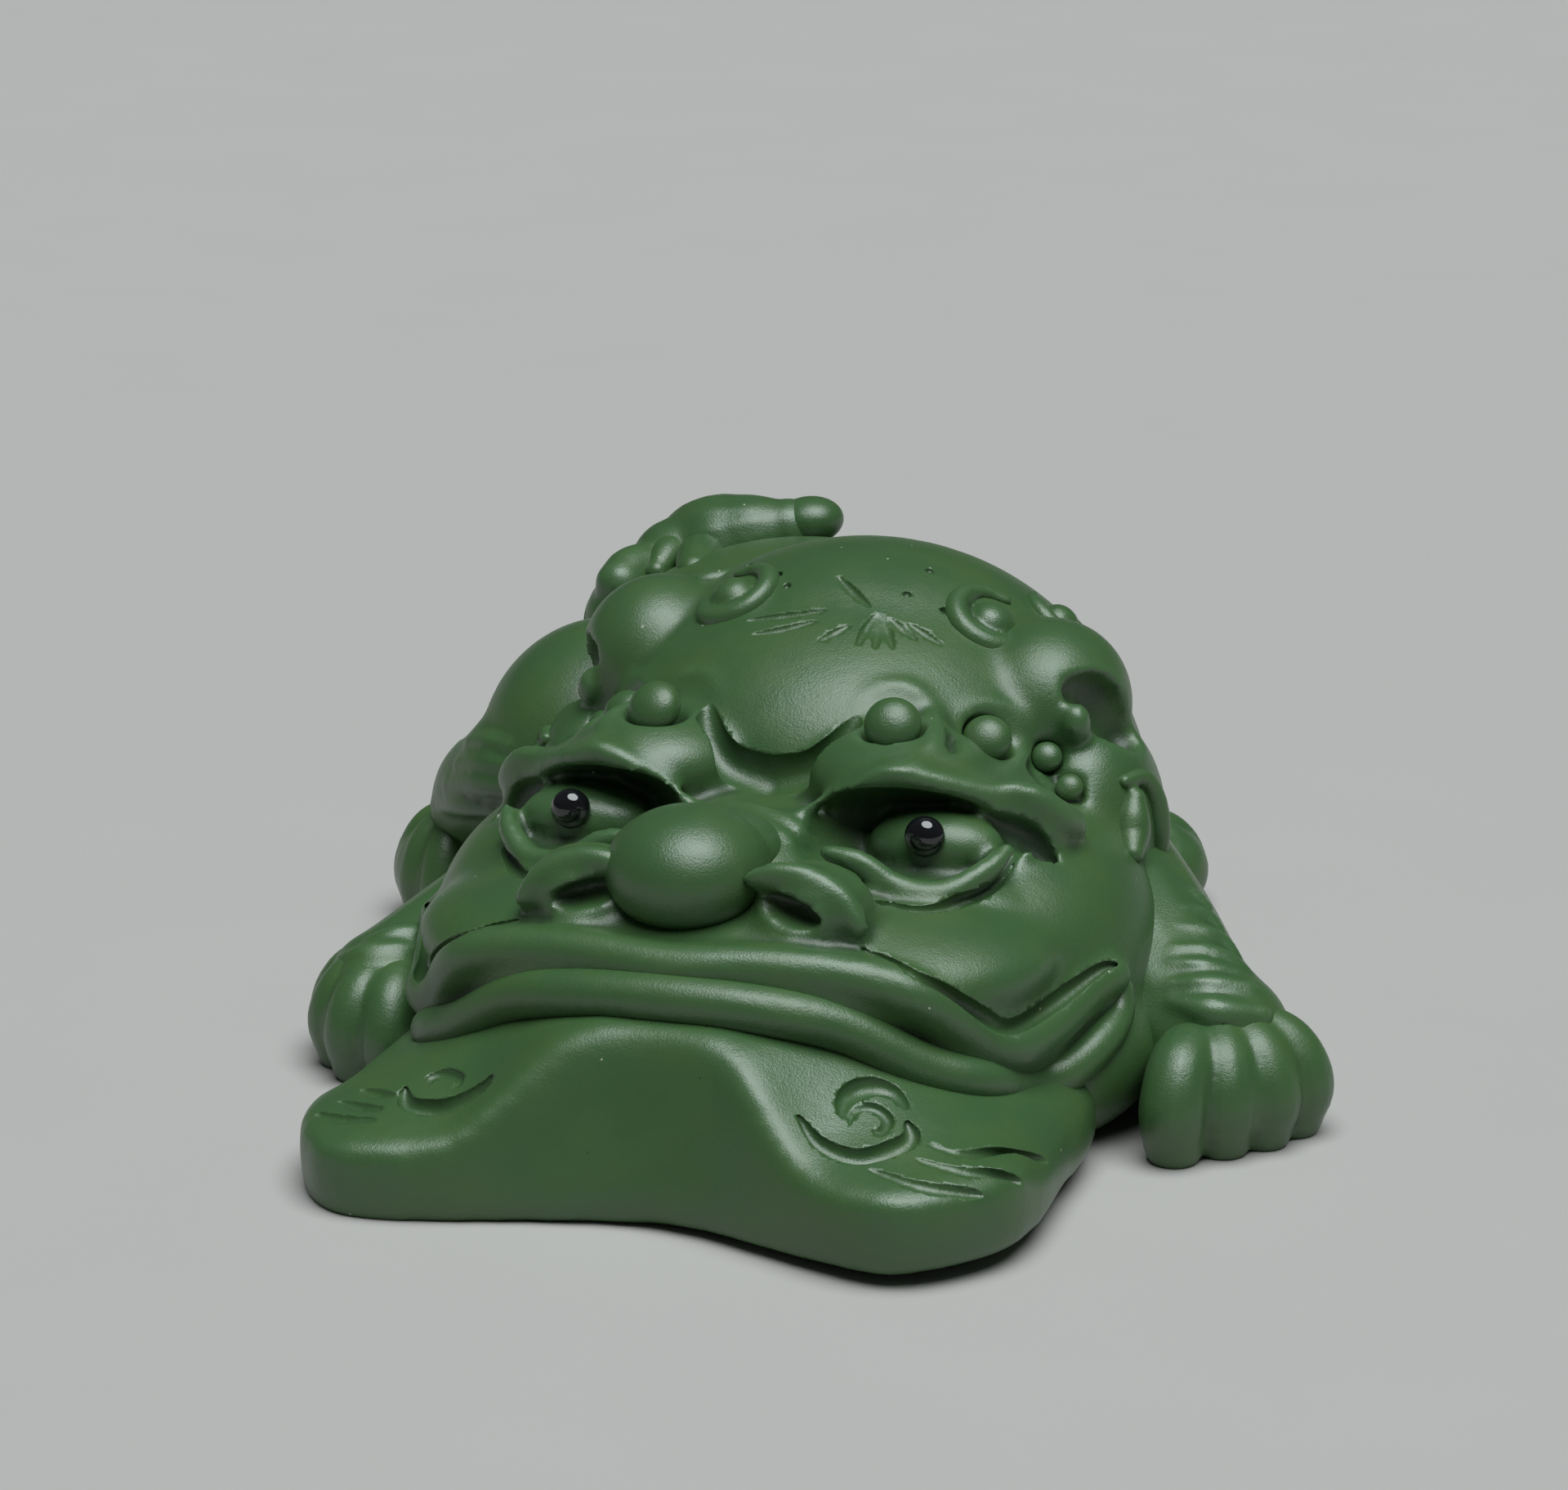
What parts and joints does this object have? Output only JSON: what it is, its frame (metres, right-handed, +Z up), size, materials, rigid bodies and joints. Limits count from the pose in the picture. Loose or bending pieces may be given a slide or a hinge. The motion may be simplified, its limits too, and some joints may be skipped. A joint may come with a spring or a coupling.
{
  "type": "guardian beast figurine",
  "caption": "Small hollow clay ornament of a crouching guardian beast with a flared two-lobed beard, curled mane and tail, flat underneath.",
  "frame": {"origin": "under the middle of the figure, on the surface that it rests on", "axes": "+Z up, -Y the way the beast faces, +X its left side"},
  "size_m": [0.0922, 0.1052, 0.0403],
  "materials": {
    "green_clay": "unglazed fine green clay, burnished to a soft satin",
    "black_glaze": "glossy black glaze"
  },
  "bodies": {
    "root": {"torso_shell": "green_clay", "belly_slab": "green_clay", "head_shell": "green_clay", "chin_beard": "green_clay", "upper_lip": "green_clay", "lower_lip": "green_clay", "nose_bulb": "green_clay", "brow_band": "green_clay", "nostril_wing_left": "green_clay", "lower_eyelid_left": "green_clay", "brow_pellet_left_1": "green_clay", "brow_pellet_left_2": "green_clay", "brow_pellet_left_3": "green_clay", "brow_pellet_left_4": "green_clay", "beard_curl_left": "green_clay", "side_curl_left": "green_clay", "mane_curl_left_1": "green_clay", "mane_curl_left_2": "green_clay", "front_leg_left": "green_clay", "front_paw_left": "green_clay", "hind_leg_left": "green_clay", "hind_paw_left": "green_clay", "nostril_wing_right": "green_clay", "lower_eyelid_right": "green_clay", "brow_pellet_right_1": "green_clay", "brow_pellet_right_2": "green_clay", "brow_pellet_right_3": "green_clay", "brow_pellet_right_4": "green_clay", "beard_curl_right": "green_clay", "side_curl_right": "green_clay", "mane_curl_right_1": "green_clay", "mane_curl_right_2": "green_clay", "front_leg_right": "green_clay", "front_paw_right": "green_clay", "hind_leg_right": "green_clay", "hind_paw_right": "green_clay", "tail_plume": "green_clay", "tail_tip": "green_clay", "tail_curl_1": "green_clay", "tail_curl_2": "green_clay", "pupil_bead_left": "black_glaze", "pupil_bead_right": "black_glaze"}
  },
  "joints": []
}
